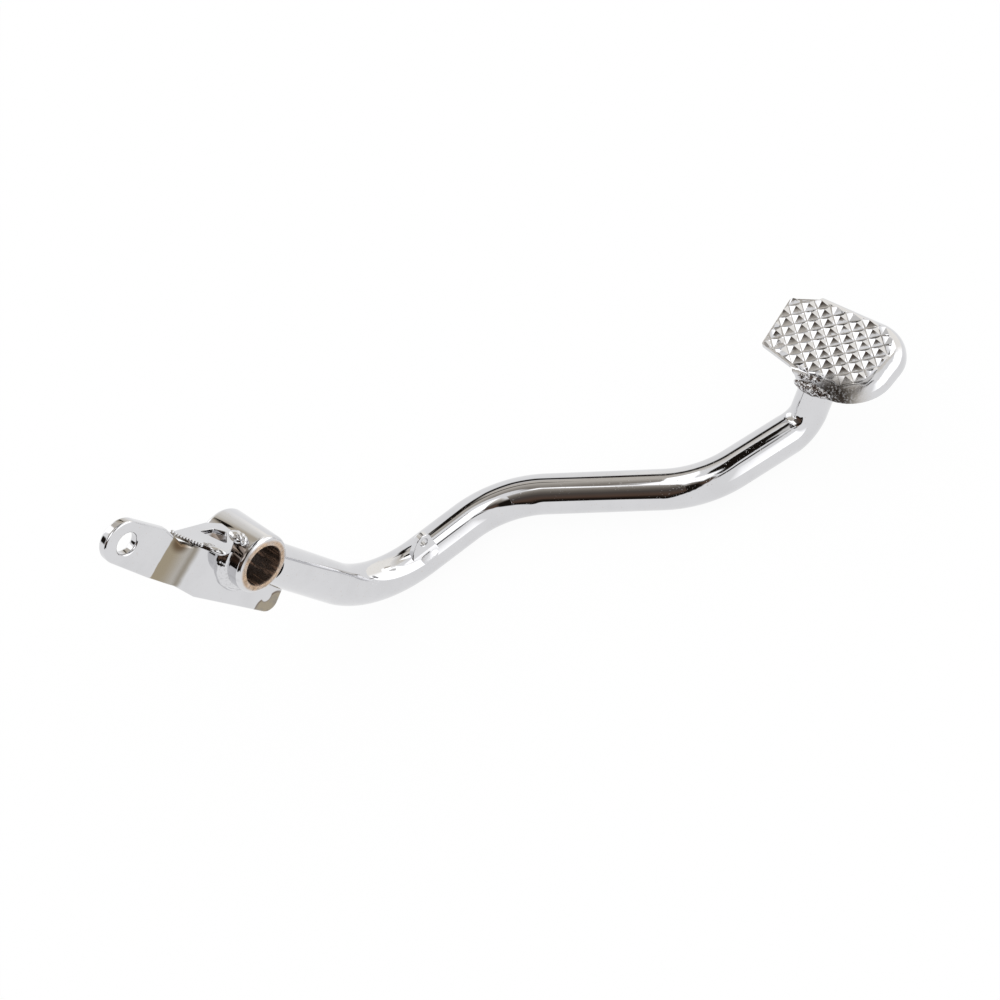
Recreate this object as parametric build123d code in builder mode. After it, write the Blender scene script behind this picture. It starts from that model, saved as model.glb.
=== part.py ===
"""Rear brake pedal of a motorbike: a chromed weldment of sleeve, lever plate, bent arm and knurled foot pad.

Millimetres. X is forward, Y inboard, Z up. The origin is on the pivot axis, at the middle of the sleeve.
"""
import os
from math import acos, asin, atan2, cos, hypot, radians, sin, tan

from build123d import *

# Pivot sleeve, which turns on a shaft along Y
sleeve_od = 22.4
sleeve_bore = 15.1
sleeve_length = 23.6
sleeve_rim = 0.7
bore_chamfer = 0.4

# Lever plate, a strap with a joggle that sets its eye further inboard
plate_thickness = 3.8
plate_inset = 8.9
joggle_step = 3.5
joggle_start = 25.0
joggle_run = 9.4
joggle_tilt = 27.0
joggle_radius = 3.0
plate_edge = 1.0
plate_corner = 4.0
eye_rear = 35.9
eye_height = 43.1
eye_radius = 8.0
pin_hole = 8.1
pin_ahead = 0.7
pin_below = 1.3
neck_rear = 34.4
neck_height = 21.6
hip_rear = 29.0
hip_height = 13.7
waist_rear = 24.5
waist_height = 2.0
heel_rear = 0.7
heel_drop = 35.8
heel_radius = 4.5
toe_reach = 27.3
brow_rear = 20.3
brow_height = 33.3
notch_lip = 1.7

# Spring tab, a flat piece from the lever's front edge down to the top of the sleeve
tab_thickness = 1.7
tab_rear = 17.7
tab_height = 26.0
tab_inboard = 8.0
tab_tip_inboard = 5.6
tab_outboard = 11.7
tab_shoulder = 17.7
tab_nose = 7.7
tab_nose_width = 5.2
tab_nose_radius = 1.6
tab_heel_outboard = 2.0
window_near = 10.6
window_far = 20.4
window_inboard = 3.2
window_outboard = 7.2
window_slant = 3.4
window_radius = 0.8

# Arm, a tube with four bends
arm_od = 16.0
arm_wall = 1.8
arm_drop = 68.4
first_reach = 38.7
second_run = 65.3
second_yaw = 8.7
third_run = 78.3
third_yaw = 53.2
fourth_run = 48.5
fourth_yaw = 15.5
rise_angle = 62.0
arm_bend = 44.0
last_bend = 12.5
bend_lead = 0.4
squeezed_width = 12.6
squeezed_depth = 16.8

# Lug for the switch spring, on the second run of the arm
lug_thickness = 2.8
lug_along = 26.3
lug_outboard = 2.8
lug_hole_height = 11.2
lug_eye_radius = 3.5
lug_hole = 3.4
lug_foot_rear = 8.6
lug_foot_front = 4.6

# Foot pad, pressed sheet with a skirt on three sides and a flat tongue inboard
pad_sheet = 1.6
pad_ahead = 16.1
pad_aside = 3.4
pad_rise = 32.4
pad_yaw = 4.0
pad_front = 23.2
pad_rear = 17.3
pad_outboard = 25.8
pad_corner = 17.0
skirt_depth = 7.0
skirt_start_front = 17.2
skirt_start_rear = 4.6
tongue_length = 27.8
tongue_front = 14.4
tongue_rear = 10.6
tongue_skew = 3.3
tongue_bend_rear = 14.4
tongue_bend_inboard = 9.4
lip_radius = 4.0
knurl_pitch = 5.03
knurl_height = 1.6
knurl_sink = 0.8
knurl_tip = 0.5
knurl_valley = 0.2
knurl_margin = 2.8
knurl_front_margin = 4.2
knurl_lip_margin = 5.2
knurl_edge_margin = 0.7
knurl_corner = 11.0
knurl_phase_left = 0.88
knurl_phase_right = 1.27

# Weld beads
sleeve_weld_leg = 3.2
sleeve_weld_bulge = 1.9
sleeve_weld_from = 121.0
sleeve_weld_to = 248.0
tab_weld_radius = 2.3
tab_weld_half = 4.6
tab_weld_angle = 97.0
tab_weld_lift = 0.8
tab_weld_outboard = 4.3
lug_weld_radius = 1.7
lug_weld_half = 5.4
lug_weld_offset = 0.4
pad_weld_radius = 2.8
pad_weld_half = 8.0
pad_weld_inset = 0.4
pad_weld_rise = 2.0
pad_weld_outboard = 2.0

# Places worked out from the sizes above
sleeve_radius = sleeve_od / 2
plate_face = -sleeve_length / 2 + plate_inset
eye_face = plate_face + joggle_step
span = 2 * (eye_height + heel_drop)
arm_radius = arm_od / 2
arm_y = -sleeve_length / 2 + arm_radius


def heading(yaw, climb=0.0):
    """Unit vector that runs forward, turned outboard by yaw and upward by climb, in degrees."""
    flat = cos(radians(climb))
    return Vector(flat * cos(radians(yaw)), -flat * sin(radians(yaw)), sin(radians(climb)))


def tangent_point(outside, centre, radius, side):
    """Point where a line from outside touches a circle, on its left (1) or right (-1)."""
    dx = outside[0] - centre[0]
    dz = outside[1] - centre[1]
    angle = atan2(dz, dx) + side * acos(radius / hypot(dx, dz))
    return centre[0] + radius * cos(angle), centre[1] + radius * sin(angle)


# Corners of the arm's centreline, from the pivot axis to a point inside the pad's sheet
arm_root = Vector(0, arm_y, 0)
first_corner = Vector(first_reach, arm_y, -arm_drop)
second_corner = first_corner + heading(second_yaw) * second_run
third_corner = second_corner + heading(third_yaw) * third_run
fourth_corner = third_corner + heading(fourth_yaw) * fourth_run
bend_setback = last_bend * tan(radians(rise_angle) / 2)
squeeze_start = fourth_corner - heading(fourth_yaw) * (bend_setback + bend_lead)
pad_top = -arm_drop + pad_rise - knurl_height
pad_under = pad_top - pad_sheet
rise_length = (pad_rise + arm_radius) / sin(radians(rise_angle))
squeeze_end = fourth_corner + heading(fourth_yaw, rise_angle) * bend_setback
arm_end = fourth_corner + heading(fourth_yaw, rise_angle) * rise_length
root_direction = first_corner - arm_root
run_heading = heading(fourth_yaw)
rise_heading = heading(fourth_yaw, rise_angle)
level_across = Vector(0, 0, 1).cross(run_heading)

# Working planes
tab_length = hypot(tab_rear, tab_height - sleeve_radius)
tab_slope = Vector(tab_rear / tab_length, 0, (sleeve_radius - tab_height) / tab_length)
tab_up = Vector(-tab_slope.Z, 0, tab_slope.X)
tab_plane = Plane(origin=(-tab_rear, 0, tab_height), x_dir=tab_slope, z_dir=tab_up)
joggle_up = Vector(-sin(radians(joggle_tilt)), 0, cos(radians(joggle_tilt)))
joggle_plane = Plane(origin=(0, 0, 0), x_dir=joggle_up, z_dir=joggle_up.cross(Vector(0, 1, 0)))
lug_origin = first_corner + heading(second_yaw) * lug_along
lug_across = heading(second_yaw).cross(Vector(0, 0, 1))
lug_plane = Plane(origin=lug_origin + lug_across * lug_outboard, x_dir=heading(second_yaw), z_dir=lug_across)
pad_centre = Vector(fourth_corner.X + pad_ahead, fourth_corner.Y - pad_aside, pad_top)
pad_forward = Vector(cos(radians(pad_yaw)), sin(radians(pad_yaw)), 0)
pad_plane = Plane(origin=pad_centre, x_dir=pad_forward, z_dir=(0, 0, 1))


# Pivot sleeve with broken edges at its rims and its bore
with BuildPart() as pivot_sleeve:
    Cylinder(sleeve_radius, sleeve_length, rotation=(90, 0, 0))
    Cylinder(sleeve_bore / 2, sleeve_length, rotation=(90, 0, 0), mode=Mode.SUBTRACT)
    chamfer(pivot_sleeve.edges().filter_by(GeomType.CIRCLE).sort_by(SortBy.RADIUS)[:2], bore_chamfer)
    chamfer(pivot_sleeve.edges().filter_by(GeomType.CIRCLE).sort_by(SortBy.RADIUS)[-2:], sleeve_rim)


# Outer form of the arm, kept whole so that its neighbours can be coped against it
def arm_form(inset):
    """Solid along the arm's centreline, inset from its outside by a wall."""
    with BuildPart() as form:
        with BuildLine() as rise:
            FilletPolyline(squeeze_start, fourth_corner, arm_end, radius=last_bend)
        with BuildSketch(Plane(origin=squeeze_start, x_dir=level_across, z_dir=run_heading)):
            Circle(arm_radius - inset)
        for place in (squeeze_end, arm_end):
            with BuildSketch(Plane(origin=place, x_dir=level_across, z_dir=rise_heading)):
                Ellipse(squeezed_width / 2 - inset, squeezed_depth / 2 - inset)
        sweep(path=rise.line, multisection=True)
        split(bisect_by=Plane.XY.offset(pad_under), keep=Keep.BOTTOM)
        with BuildLine() as route:
            FilletPolyline(
                arm_root, first_corner, second_corner, third_corner, squeeze_start, radius=arm_bend
            )
        with BuildSketch(Plane(origin=arm_root, z_dir=root_direction)):
            Circle(arm_radius - inset)
        sweep(path=route.line)
    return form.part


arm_core = arm_form(0.0)

with BuildPart() as arm_tube:
    add(arm_core)
    add(arm_form(arm_wall), mode=Mode.SUBTRACT)
    Cylinder(sleeve_radius, sleeve_length * 2, rotation=(90, 0, 0), mode=Mode.SUBTRACT)


# Lever plate: the outline seen along the pivot, kept where it meets the joggled sheet
eye = (-eye_rear, eye_height)
neck = (-neck_rear, neck_height)
hip = (-hip_rear, hip_height)
waist = (-waist_rear, waist_height)
brow = (-brow_rear, brow_height)
toe = (toe_reach * root_direction.normalized().X, toe_reach * root_direction.normalized().Z)
seat_start = tab_plane.origin - tab_up * tab_thickness
seat_end = seat_start + tab_slope * tab_length
notch_top = tab_plane.origin + tab_up * notch_lip
lever_outline = [
    tangent_point(neck, eye, eye_radius, -1),
    neck,
    hip,
    waist,
    (-heel_rear, -heel_drop),
    toe,
    (0, 0),
    (seat_end.X, seat_end.Z),
    (seat_start.X, seat_start.Z),
    (notch_top.X, notch_top.Z),
    brow,
    tangent_point(brow, eye, eye_radius, 1),
]
eye_point = Vector(-eye_rear, eye_face, eye_height)
joggle_slope = atan2(joggle_step, joggle_run)
bend_shift = plate_thickness * tan(joggle_slope / 2)
joggle_end = joggle_start + joggle_run
sheet_outline = [
    (-span, plate_face),
    (joggle_start, plate_face),
    (joggle_end, eye_face),
    (span, eye_face),
    (span, eye_face + plate_thickness),
    (joggle_end - bend_shift, eye_face + plate_thickness),
    (joggle_start - bend_shift, plate_face + plate_thickness),
    (-span, plate_face + plate_thickness),
]

with BuildPart() as lever_plate:
    with BuildSketch(Plane.XZ) as strap:
        Polygon(*lever_outline, align=None)
        fillet(strap.vertices().sort_by(Axis.Y)[0], heel_radius)
        for corner in (neck, hip, waist, brow):
            fillet(strap.vertices().sort_by_distance(Vector(*corner))[0], plate_corner)
        with Locations(eye):
            Circle(eye_radius)
        with Locations((pin_ahead - eye_rear, eye_height - pin_below)):
            Circle(pin_hole / 2, mode=Mode.SUBTRACT)
    extrude(amount=span, both=True)
    with BuildSketch(joggle_plane) as sheet:
        Polygon(*sheet_outline, align=None)
        fillet(sheet.vertices().filter_by_position(Axis.X, -span / 2, span / 2), joggle_radius)
    extrude(amount=span, both=True, mode=Mode.INTERSECT)
    fillet(lever_plate.edges().filter_by(GeomType.CIRCLE).group_by(SortBy.RADIUS)[-1], plate_edge)
    Cylinder(sleeve_radius, span, rotation=(90, 0, 0), mode=Mode.SUBTRACT)
    add(arm_core, mode=Mode.SUBTRACT)


# Spring tab: a flat, windowed piece coped to the sleeve
tab_outline = [
    (0, tab_tip_inboard),
    (tab_shoulder, tab_inboard),
    (tab_length + tab_thickness, tab_tip_inboard),
    (tab_length + tab_thickness, -tab_heel_outboard),
    (tab_nose + tab_nose_width, -tab_outboard + tab_nose_radius / 2),
    (tab_nose, -tab_outboard),
]
window_outline = [
    (window_near, window_inboard),
    (window_far - window_slant, window_inboard),
    (window_far, window_inboard - window_slant),
    (window_near + window_slant, -window_outboard),
]

with BuildPart() as spring_tab:
    with BuildSketch(tab_plane) as tab_shape:
        Polygon(*tab_outline, align=None)
        fillet(tab_shape.vertices().sort_by(Axis.Y)[:2], tab_nose_radius)
    extrude(amount=-tab_thickness)
    with BuildSketch(tab_plane) as window:
        Polygon(*window_outline, align=None)
        fillet(window.vertices(), window_radius)
    extrude(amount=-tab_thickness, mode=Mode.SUBTRACT)
    Cylinder(sleeve_radius, span, rotation=(90, 0, 0), mode=Mode.SUBTRACT)


# Switch lug: an eye on a broad foot, coped to the arm
lug_eye = (0, lug_hole_height)
lug_rear_foot = (-lug_foot_rear, 0)
lug_front_foot = (lug_foot_front, 0)

with BuildPart() as switch_lug:
    with BuildSketch(lug_plane) as lug_shape:
        Polygon(
            lug_rear_foot,
            lug_front_foot,
            tangent_point(lug_front_foot, lug_eye, lug_eye_radius, 1),
            tangent_point(lug_rear_foot, lug_eye, lug_eye_radius, -1),
            align=None,
        )
        with Locations(lug_eye):
            Circle(lug_eye_radius)
            Circle(lug_hole / 2, mode=Mode.SUBTRACT)
    extrude(amount=lug_thickness / 2, both=True)
    add(arm_core, mode=Mode.SUBTRACT)


# Knurl: square pyramids left between two sets of grooves that cross at right angles
knurl_plane = pad_plane.offset(knurl_height)
groove_count = 2 * int((pad_front + pad_outboard + tongue_length) / knurl_pitch) + 1
groove_profile = [
    (-(knurl_pitch - knurl_tip) / 2, 0),
    ((knurl_pitch - knurl_tip) / 2, 0),
    (knurl_valley / 2, -knurl_height),
    (-knurl_valley / 2, -knurl_height),
]
knurl_outline = [
    (pad_front - knurl_front_margin, skirt_start_front - knurl_edge_margin),
    (tongue_front - knurl_edge_margin, tongue_length - knurl_edge_margin),
    (-tongue_rear + knurl_edge_margin, tongue_length - tongue_skew - knurl_edge_margin),
    (-pad_rear + knurl_margin, skirt_start_rear),
    (-pad_rear + knurl_margin, knurl_lip_margin - pad_outboard),
    (pad_front - knurl_front_margin, knurl_lip_margin - pad_outboard),
]

with BuildPart() as knurl:
    with BuildSketch(pad_plane.offset(-knurl_sink)) as knurl_field:
        Polygon(*knurl_outline, align=None)
        fillet(knurl_field.vertices().sort_by(Axis.Y)[:2], knurl_corner)
    extrude(amount=knurl_sink + knurl_height)
    for turn, phase in ((45, knurl_phase_left), (-45, knurl_phase_right)):
        along = pad_forward.rotate(Axis.Z, turn)
        across = Vector(0, 0, 1).cross(along)
        with BuildSketch(Plane(origin=knurl_plane.origin, x_dir=across, z_dir=along)):
            with Locations((phase, 0)):
                with GridLocations(knurl_pitch, 1, groove_count, 1):
                    Polygon(*groove_profile, align=None)
        extrude(amount=span, both=True, mode=Mode.SUBTRACT)


# Foot pad: skirted sheet, flat tongue and the knurl on top
skirt_outline = [
    (-pad_rear, skirt_start_rear),
    (-pad_rear, -pad_outboard),
    (pad_front, -pad_outboard),
    (pad_front, skirt_start_front),
]
hollow_outline = [
    (-pad_rear + pad_sheet, tongue_length),
    (-pad_rear + pad_sheet, pad_sheet - pad_outboard),
    (pad_front - pad_sheet, pad_sheet - pad_outboard),
    (pad_front - pad_sheet, tongue_length),
]
tongue_outline = [
    (-pad_rear, skirt_start_rear),
    (pad_front - lip_radius, skirt_start_front),
    (tongue_front, tongue_length),
    (-tongue_rear, tongue_length - tongue_skew),
    (-tongue_bend_rear, tongue_bend_inboard),
]

with BuildPart() as foot_pad:
    with BuildSketch(pad_plane) as skirt:
        Polygon(*skirt_outline, align=None)
        fillet(skirt.vertices().sort_by(Axis.Y)[:2], pad_corner)
    extrude(amount=-skirt_depth)
    rim = foot_pad.faces().sort_by(Axis.Z)[-1].edges()
    fillet(rim.sort_by(lambda edge: pad_plane.to_local_coords(edge.center()).Y)[:-1], lip_radius)
    with BuildSketch(pad_plane.offset(-pad_sheet)) as hollow:
        Polygon(*hollow_outline, align=None)
        fillet(hollow.vertices().sort_by(Axis.Y)[:2], pad_corner - pad_sheet)
    extrude(amount=-skirt_depth, mode=Mode.SUBTRACT)
    with BuildSketch(pad_plane):
        Polygon(*tongue_outline, align=None)
    extrude(amount=-pad_sheet)
    add(knurl.part)


# Fillet weld round the sleeve on the lever plate's outer face
weld_start = radians(sleeve_weld_to)
weld_radial = Vector(cos(weld_start), 0, sin(weld_start))
weld_plane = Plane(origin=(0, 0, 0), x_dir=weld_radial, z_dir=weld_radial.cross(Vector(0, 1, 0)))

with BuildPart() as sleeve_weld:
    with BuildSketch(weld_plane):
        with BuildLine():
            Polyline(
                (sleeve_radius, plate_face - sleeve_weld_leg),
                (sleeve_radius, plate_face),
                (sleeve_radius + sleeve_weld_leg, plate_face),
            )
            ThreePointArc(
                (sleeve_radius + sleeve_weld_leg, plate_face),
                (sleeve_radius + sleeve_weld_bulge, plate_face - sleeve_weld_bulge),
                (sleeve_radius, plate_face - sleeve_weld_leg),
            )
        make_face()
    revolve(axis=Axis.Y, revolution_arc=sleeve_weld_to - sleeve_weld_from)


# Weld beads are spindles along their seam, trimmed by the pieces that they join
def bead(plane, half_length, radius):
    """Spindle along the plane's X axis, thickest over its middle half."""
    shoulder = half_length / 2
    with BuildPart() as spindle:
        with BuildSketch(plane):
            Polygon((-half_length, 0), (-shoulder, radius), (shoulder, radius), (half_length, 0), align=None)
        revolve(axis=Axis(plane.origin, plane.x_dir))
    return spindle.part


tab_weld_up = radians(tab_weld_angle)
tab_weld_at = Vector(cos(tab_weld_up), 0, sin(tab_weld_up)) * (sleeve_radius + tab_weld_lift)
lug_weld_out = lug_outboard + lug_thickness / 2 + lug_weld_offset
lug_weld_up = arm_radius * cos(asin(lug_weld_out / arm_radius))
pad_weld_at = pad_plane.from_local_coords(
    Vector(-pad_rear + pad_weld_inset, -pad_weld_outboard, pad_weld_rise - skirt_depth)
)

with BuildPart() as tab_weld:
    add(bead(
        Plane(origin=tab_weld_at - Vector(0, tab_weld_outboard, 0), x_dir=(0, 1, 0), z_dir=(1, 0, 0)),
        tab_weld_half, tab_weld_radius,
    ))
    Cylinder(sleeve_radius, sleeve_length, rotation=(90, 0, 0), mode=Mode.SUBTRACT)
    add(spring_tab.part, mode=Mode.SUBTRACT)
    add(lever_plate.part, mode=Mode.SUBTRACT)

with BuildPart() as lug_weld:
    add(bead(
        Plane(
            origin=lug_origin + lug_across * lug_weld_out + Vector(0, 0, lug_weld_up),
            x_dir=heading(second_yaw), z_dir=lug_across,
        ),
        lug_weld_half, lug_weld_radius,
    ))
    add(arm_core, mode=Mode.SUBTRACT)
    add(switch_lug.part, mode=Mode.SUBTRACT)

with BuildPart() as pad_weld:
    add(bead(
        Plane(origin=pad_weld_at, x_dir=pad_plane.y_dir, z_dir=(0, 0, 1)),
        pad_weld_half, pad_weld_radius,
    ))
    add(arm_core, mode=Mode.SUBTRACT)
    add(foot_pad.part, mode=Mode.SUBTRACT)


# One file for each piece
os.makedirs("parts", exist_ok=True)
pivot_sleeve.part.label = "pivot_sleeve"
export_step(pivot_sleeve.part, "parts/pivot_sleeve.step")
lever_plate.part.label = "lever_plate"
export_step(lever_plate.part, "parts/lever_plate.step")
spring_tab.part.label = "spring_tab"
export_step(spring_tab.part, "parts/spring_tab.step")
arm_tube.part.label = "arm_tube"
export_step(arm_tube.part, "parts/arm_tube.step")
switch_lug.part.label = "switch_lug"
export_step(switch_lug.part, "parts/switch_lug.step")
foot_pad.part.label = "foot_pad"
export_step(foot_pad.part, "parts/foot_pad.step")
sleeve_weld.part.label = "sleeve_weld"
export_step(sleeve_weld.part, "parts/sleeve_weld.step")
tab_weld.part.label = "tab_weld"
export_step(tab_weld.part, "parts/tab_weld.step")
lug_weld.part.label = "lug_weld"
export_step(lug_weld.part, "parts/lug_weld.step")
pad_weld.part.label = "pad_weld"
export_step(pad_weld.part, "parts/pad_weld.step")
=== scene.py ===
from math import acos, atan2, cos, hypot, pi, radians, sin, sqrt, tan
from random import Random

import bmesh
import bpy
from bmesh.types import BMEdge, BMVert
from bpy.props import FloatProperty, FloatVectorProperty, IntProperty, PointerProperty
from mathutils import Matrix, Vector, noise


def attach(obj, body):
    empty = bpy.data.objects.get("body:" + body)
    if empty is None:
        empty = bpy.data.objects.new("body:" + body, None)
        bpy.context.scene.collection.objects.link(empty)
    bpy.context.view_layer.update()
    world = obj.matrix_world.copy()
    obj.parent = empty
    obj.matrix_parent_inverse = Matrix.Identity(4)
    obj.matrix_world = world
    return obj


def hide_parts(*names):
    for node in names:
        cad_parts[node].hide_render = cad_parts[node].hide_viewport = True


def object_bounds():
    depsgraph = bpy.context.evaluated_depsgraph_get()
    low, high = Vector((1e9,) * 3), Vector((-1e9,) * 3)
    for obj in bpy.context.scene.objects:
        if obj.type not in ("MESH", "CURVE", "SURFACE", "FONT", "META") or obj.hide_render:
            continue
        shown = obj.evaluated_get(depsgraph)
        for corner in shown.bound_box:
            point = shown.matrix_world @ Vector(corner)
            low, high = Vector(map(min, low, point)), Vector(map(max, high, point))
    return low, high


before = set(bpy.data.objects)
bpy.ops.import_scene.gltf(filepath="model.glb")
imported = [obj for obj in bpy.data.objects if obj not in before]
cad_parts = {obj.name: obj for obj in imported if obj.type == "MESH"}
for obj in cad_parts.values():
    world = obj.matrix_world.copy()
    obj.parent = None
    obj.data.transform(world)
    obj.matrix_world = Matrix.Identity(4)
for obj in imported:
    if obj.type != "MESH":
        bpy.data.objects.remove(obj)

bl_info = {
    "name": "Rear brake pedal",
    "version": (1, 0, 0),
    "blender": (4, 5, 0),
    "location": "3D View > Sidebar > Pedal",
    "description": "Builds a chromed pedal's sleeve, plates, bent arm, knurled pad, welds and studio",
    "category": "Object",
}

MM = 0.001
MERGE = 0.001 * MM
CAD_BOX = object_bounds()
BODY = "root"
UP = Vector((0, 0, 1))
INBOARD = Vector((0, 1, 0))


# Settings that a user would change

def length(name, description, millimetres):
    """A size in metres, given here in millimetres."""
    return FloatProperty(
        name=name, description=description, default=millimetres * MM, unit="LENGTH", precision=5
    )


def angle(name, description, degrees):
    """An angle, given here in degrees."""
    return FloatProperty(name=name, description=description, default=radians(degrees), subtype="ANGLE")


def colour(name, description, red, green, blue):
    """A linear colour."""
    return FloatVectorProperty(
        name=name, description=description, default=(red, green, blue), subtype="COLOR", min=0, max=1
    )


class SleeveSettings(bpy.types.PropertyGroup):
    """Pivot sleeve and its weld."""
    radius: length("Radius", "Outer radius of the sleeve", 11.2)
    bore: length("Bore radius", "Radius of the shaft's bore", 7.55)
    length: length("Length", "Length of the sleeve along the pivot", 23.6)
    rim: length("Rim", "Rounding of the outer rims", 1.9)
    chamfer: length("Bore edge", "Broken edge at the bore", 0.4)
    weld_leg: length("Weld leg", "Leg of the fillet weld on the lever plate", 3.2)
    weld_from: angle("Weld start", "Where the weld begins, from forward towards up", 121)
    weld_to: angle("Weld end", "Where the weld ends", 248)


class PlateSettings(bpy.types.PropertyGroup):
    """Lever plate."""
    thickness: length("Thickness", "Thickness of the strap", 3.8)
    face: length("Outer face", "Place of the outer face along the pivot", -2.9)
    edge: length("Edge", "Rounding of the strap's edges", 1.0)
    joggle_step: length("Joggle step", "How far the joggle sets the eye inboard", 3.5)
    joggle_start: length("Joggle start", "Distance of the first bend from the pivot", 25.0)
    joggle_run: length("Joggle run", "Length of the slanted stretch", 9.4)
    joggle_tilt: angle("Joggle tilt", "Slant of the bend lines", 27)
    eye_radius: length("Eye radius", "Radius of the rounded end", 8.0)
    pin_radius: length("Pin hole radius", "Radius of the rod's pin hole", 4.05)


class TabSettings(bpy.types.PropertyGroup):
    """Spring tab."""
    thickness: length("Thickness", "Thickness of the tab", 1.7)
    edge: length("Edge", "Rounding of the tab's edges", 0.25)
    bead: length("Bead", "Unit size of the beads along the outer edge", 1.0)


class ArmSettings(bpy.types.PropertyGroup):
    """Bent arm and its lug."""
    radius: length("Radius", "Outer radius of the tube", 8.0)
    bend: length("Bend radius", "Radius of the three long bends", 44.0)
    last_bend: length("Last bend radius", "Radius of the bend under the pad", 12.5)
    rise: angle("Rise", "Climb of the last run", 62)
    squeeze: FloatProperty(
        name="Squeeze", description="Width of the squeezed end over the tube's width",
        default=0.7875, min=0.3, max=1,
    )
    sides: IntProperty(name="Sides", description="Facets round the tube", default=96, min=24, max=256)
    lug_thickness: length("Lug thickness", "Thickness of the switch lug", 2.8)


class PadSettings(bpy.types.PropertyGroup):
    """Foot pad."""
    sheet: length("Sheet", "Thickness of the pressed sheet", 1.6)
    skirt: length("Skirt", "Depth of the skirt", 7.0)
    lip: length("Lip", "Rounding of the lip", 6.4)
    pitch: length("Knurl pitch", "Distance between two teeth", 5.03)
    tooth: length("Knurl height", "Height of a tooth", 1.6)
    tip: length("Knurl tip", "Width of a tooth's flat tip", 0.5)
    yaw: angle("Yaw", "Turn of the pad about the vertical", 4)


class FinishSettings(bpy.types.PropertyGroup):
    """Colours of the finishes."""
    chrome: colour("Chrome", "Bright chromium plate", 0.66, 0.66, 0.675)
    tan: colour("Tan", "Thin plate that shows the steel's tan cast", 0.5, 0.36, 0.25)
    rust: colour("Rust", "Dark oiled rust inside the bore", 0.05, 0.03, 0.02)


class StageSettings(bpy.types.PropertyGroup):
    """Studio."""
    floor: colour("Floor", "White paper under the part", 1.0, 1.0, 1.0)
    card: colour("Card", "Dark card behind the camera", 0.012, 0.009, 0.007)
    view: angle("Field of view", "Field of view of the camera", 28)


SETTINGS = {
    "pedal_sleeve": SleeveSettings,
    "pedal_plate": PlateSettings,
    "pedal_tab": TabSettings,
    "pedal_arm": ArmSettings,
    "pedal_pad": PadSettings,
    "pedal_finish": FinishSettings,
    "pedal_stage": StageSettings,
}


# Shader maths as Python expressions

class Value:
    """A shader socket that takes part in Python expressions."""

    def __init__(self, graph, socket):
        self.graph = graph
        self.socket = socket

    def __add__(self, other):
        return self.graph.math("ADD", self, other)

    __radd__ = __add__

    def __sub__(self, other):
        return self.graph.math("SUBTRACT", self, other)

    def __rsub__(self, other):
        return self.graph.math("SUBTRACT", other, self)

    def __mul__(self, other):
        return self.graph.math("MULTIPLY", self, other)

    __rmul__ = __mul__

    def __pow__(self, other):
        return self.graph.math("POWER", self, other)

    def larger(self, other):
        """The larger of two values."""
        return self.graph.math("MAXIMUM", self, other)

    def step(self, low, high):
        """0 below low, 1 above high and smooth between them."""
        return self.graph.node(
            "ShaderNodeMapRange", {"interpolation_type": "SMOOTHSTEP"},
            {"Value": self, "From Min": low, "From Max": high},
        )


class Graph:
    """The node tree of one material or world."""

    def __init__(self, owner):
        owner.use_nodes = True
        self.tree = owner.node_tree
        self.tree.nodes.clear()

    def node(self, kind, settings=None, inputs=None, output=0):
        """Any node: its settings first, then the values or links of its sockets."""
        made = self.tree.nodes.new(kind)
        for key, value in (settings or {}).items():
            setattr(made, key, value)
        for key, value in (inputs or {}).items():
            if isinstance(value, Value):
                self.tree.links.new(value.socket, made.inputs[key])
            else:
                made.inputs[key].default_value = value
        return Value(self, made.outputs[output]) if made.outputs else None

    def math(self, operation, first, second=0.0):
        """A Math node on one or two values."""
        return self.node("ShaderNodeMath", {"operation": operation}, {0: first, 1: second})

    def mix(self, factor, first, second):
        """Mixes two colours."""
        return self.node(
            "ShaderNodeMix", {"data_type": "RGBA"}, {"Factor": factor, 6: first, 7: second}, output=2
        )

    def outputs(self, kind, settings=None, inputs=None):
        """All outputs of a node, by their names."""
        made = self.node(kind, settings, inputs).socket.node
        return {socket.name: Value(self, socket) for socket in made.outputs}

    def noise(self, vector, scale, detail=2.0, roughness=0.5):
        """Smooth noise about a half."""
        return self.node(
            "ShaderNodeTexNoise", None,
            {"Vector": vector, "Scale": scale, "Detail": detail, "Roughness": roughness},
        )

    def spot(self, vector, centre, radius, blur):
        """1 within a radius of a place given in millimetres, 0 beyond it."""
        away = self.node(
            "ShaderNodeVectorMath", {"operation": "DISTANCE"}, {0: vector, 1: Vector(centre) * MM}, output=1
        )
        return 1 - away.step((radius - blur) * MM, (radius + blur) * MM)

    def stretched(self, vector, scale):
        """Coordinates stretched along x, y and z."""
        return self.node("ShaderNodeVectorMath", {"operation": "MULTIPLY"}, {0: vector, 1: scale})

    def bump(self, height, distance, under=None):
        """A normal raised by a height, over another normal where one is given."""
        inputs = {"Height": height, "Distance": distance}
        if under:
            inputs["Normal"] = under
        return self.node("ShaderNodeBump", None, inputs)

    def surface(self, tint, rough, normal, metal=1.0):
        """The Principled shader and the material's output."""
        self.show(self.node(
            "ShaderNodeBsdfPrincipled", None,
            {"Base Color": tint, "Metallic": metal, "Roughness": rough, "Normal": normal},
        ))

    def show(self, shader):
        """Gives a shader to the material's output."""
        self.node("ShaderNodeOutputMaterial", None, {"Surface": shader})

    def glow(self, colour):
        """A shader that gives off its colour."""
        return self.node("ShaderNodeEmission", None, {"Color": colour, "Strength": 1.0})

    def blend(self, share, first, second):
        """Mixes two shaders."""
        return self.node("ShaderNodeMixShader", None, {0: share, 1: first, 2: second})


def rgb(values):
    """A colour with full alpha."""
    return (values[0], values[1], values[2], 1.0)


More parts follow.
